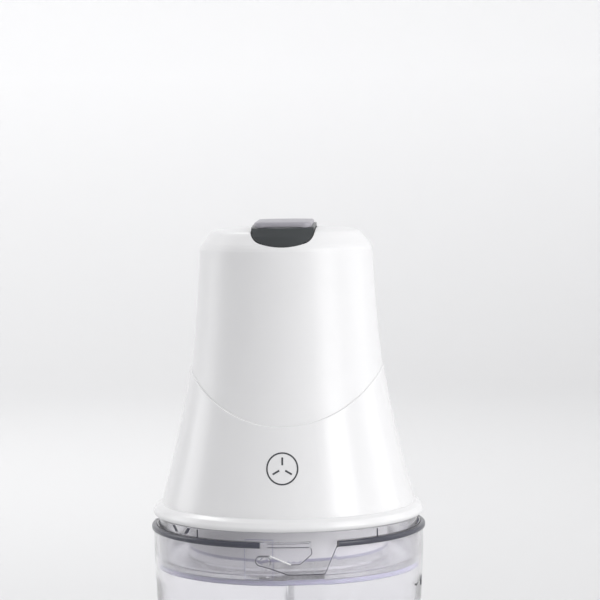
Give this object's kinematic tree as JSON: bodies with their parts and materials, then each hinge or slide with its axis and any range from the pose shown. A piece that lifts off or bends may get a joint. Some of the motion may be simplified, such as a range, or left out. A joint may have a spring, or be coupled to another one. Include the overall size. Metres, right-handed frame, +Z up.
{
  "type": "mini chopper food processor",
  "caption": "Upright mini chopper: white push-button motor head on a clear twist-lock lid and clear bowl, with a stacked S-blade set and geared motor.",
  "frame": {"origin": "centre of the base ring's flat underside, on the worktop", "axes": "+Z up along the drive axis, front of the object towards -Y, +X to the right seen from the front"},
  "size_m": [0.1242, 0.1242, 0.2379],
  "materials": {
    "clear_plastic": "clear injection-moulded styrene copolymer, polished",
    "dark_band": "smooth dark grey",
    "base_rubber": "matt, non-slip",
    "bright_steel": "turned steel",
    "blade_steel": "ground stainless steel",
    "hub_plastic": "moulded acetal",
    "seal_silicone": "translucent lilac-grey silicone",
    "white_satin": "white satin ABS",
    "white_gloss": "white gloss ABS",
    "white_inner": "white moulded ABS",
    "gland_rubber": "matt rubber",
    "badge_ink": "printed dark grey ink",
    "button_grey": "dark grey satin ABS",
    "pad_grey": "light lilac-grey satin ABS",
    "frame_plastic": "natural moulded polypropylene",
    "motor_steel": "zinc-plated drawn steel",
    "magnet_ferrite": "sintered ferrite",
    "carbon": "pressed carbon",
    "sintered_bronze": "oil-filled sintered bronze",
    "laminated_steel": "stacked laminations",
    "copper_wire": "enamelled copper",
    "gear_acetal": "moulded acetal",
    "carrier_plastic": "glass-filled nylon",
    "board_green": "solder-masked laminate",
    "component_black": "moulded epoxy",
    "plunger_red": "moulded nylon"
  },
  "bodies": {
    "bowl": {"bowl": "clear_plastic", "rim_band": "dark_band", "base_ring": "base_rubber", "spindle_pin": "bright_steel", "spindle_nut": "bright_steel"},
    "gasket": {"lid_gasket": "seal_silicone"},
    "lid": {"lid": "clear_plastic", "lid_bush": "hub_plastic"},
    "head": {"upper_housing": "white_satin", "collar": "white_gloss", "base_plate": "white_inner", "base_screws": "bright_steel", "cord_gland": "gland_rubber", "badge": "badge_ink", "button_guide": "white_inner", "button_spring": "bright_steel", "motor_cradle": "frame_plastic", "cradle_screws": "bright_steel", "motor_can": "motor_steel", "magnet_left": "magnet_ferrite", "magnet_right": "magnet_ferrite", "end_cap": "frame_plastic", "brush_left": "carbon", "brush_right": "carbon", "bottom_bearing": "sintered_bronze", "top_bearing": "sintered_bronze", "motor_plate": "motor_steel", "ring_gear": "gear_acetal", "gearbox_cover": "gear_acetal", "gearbox_screws": "bright_steel", "output_bearing": "sintered_bronze", "top_bracket": "frame_plastic", "circuit_board": "board_green", "rectifier": "component_black", "choke": "copper_wire", "power_switch": "component_black", "interlock_switch": "component_black", "interlock_spring": "bright_steel"},
    "button": {"button": "button_grey", "button_pad": "pad_grey"},
    "plunger": {"switch_plunger": "plunger_red"},
    "interlock": {"interlock_pin": "plunger_red"},
    "armature": {"motor_shaft": "bright_steel", "armature_core": "laminated_steel", "armature_winding": "copper_wire", "commutator": "copper_wire", "cooling_fan": "frame_plastic", "sun_pinion": "sintered_bronze"},
    "carrier": {"planet_carrier": "carrier_plastic", "output_dog": "carrier_plastic"},
    "planet_a": {"planet_1": "gear_acetal"},
    "planet_b": {"planet_2": "gear_acetal"},
    "planet_c": {"planet_3": "gear_acetal"},
    "blades": {"blade_hub": "hub_plastic", "blade_stem": "bright_steel", "lower_blade": "blade_steel", "upper_blade": "blade_steel", "drive_socket": "hub_plastic"}
  },
  "joints": [
    {"name": "lid_drop", "type": "slide", "parent": "bowl", "child": "gasket", "axis": [0, 0, -1], "range_m": [0, 0.00375]},
    {"name": "lid_twist", "type": "hinge", "parent": "gasket", "child": "lid", "pos_m": [0, 0, 0.098], "axis": [0, 0, 1], "range_deg": [0, 11.2]},
    {"name": "head_lift", "type": "slide", "parent": "lid", "child": "head", "axis": [0, 0, 1], "range_m": [0, 0.06]},
    {"name": "button_press", "type": "slide", "parent": "head", "child": "button", "axis": [0, 0, -1], "range_m": [0, 0.003], "stiffness_N_per_m": 900, "springref_m": -0.002, "deforming": ["button_spring"]},
    {"name": "plunger_press", "type": "slide", "parent": "head", "child": "plunger", "axis": [0, 0, -1], "range_m": [0, 0.0015]},
    {"name": "interlock_lift", "type": "slide", "parent": "head", "child": "interlock", "axis": [0, 0, 1], "range_m": [0, 0.0015], "stiffness_N_per_m": 250, "springref_m": -0.003, "deforming": ["interlock_spring"]},
    {"name": "motor_spin", "type": "hinge", "parent": "head", "child": "armature", "pos_m": [0, 0, 0.1444], "axis": [0, 0, 1], "continuous": true},
    {"name": "carrier_spin", "type": "hinge", "parent": "head", "child": "carrier", "pos_m": [0, 0, 0.1104], "axis": [0, 0, 1], "continuous": true},
    {"name": "planet_a_spin", "type": "hinge", "parent": "carrier", "child": "planet_a", "pos_m": [0, 0.0108, 0.1164], "axis": [0, 0, 1], "continuous": true},
    {"name": "planet_b_spin", "type": "hinge", "parent": "carrier", "child": "planet_b", "pos_m": [-0.00935, -0.0054, 0.1164], "axis": [0, 0, 1], "continuous": true},
    {"name": "planet_c_spin", "type": "hinge", "parent": "carrier", "child": "planet_c", "pos_m": [0.00935, -0.0054, 0.1164], "axis": [0, 0, 1], "continuous": true},
    {"name": "blade_spin", "type": "hinge", "parent": "bowl", "child": "blades", "pos_m": [0, 0, 0.03], "axis": [0, 0, 1], "continuous": true}
  ],
  "couplings": [
    {"joint": "lid_drop", "follows": "lid_twist", "m_per_rad": 0.01918},
    {"joint": "plunger_press", "follows": "button_press", "ratio": 0.5},
    {"joint": "carrier_spin", "follows": "motor_spin", "ratio": 0.22222},
    {"joint": "planet_a_spin", "follows": "motor_spin", "ratio": -0.62222},
    {"joint": "planet_b_spin", "follows": "motor_spin", "ratio": -0.62222},
    {"joint": "planet_c_spin", "follows": "motor_spin", "ratio": -0.62222},
    {"joint": "blade_spin", "follows": "motor_spin", "ratio": 0.22222}
  ]
}
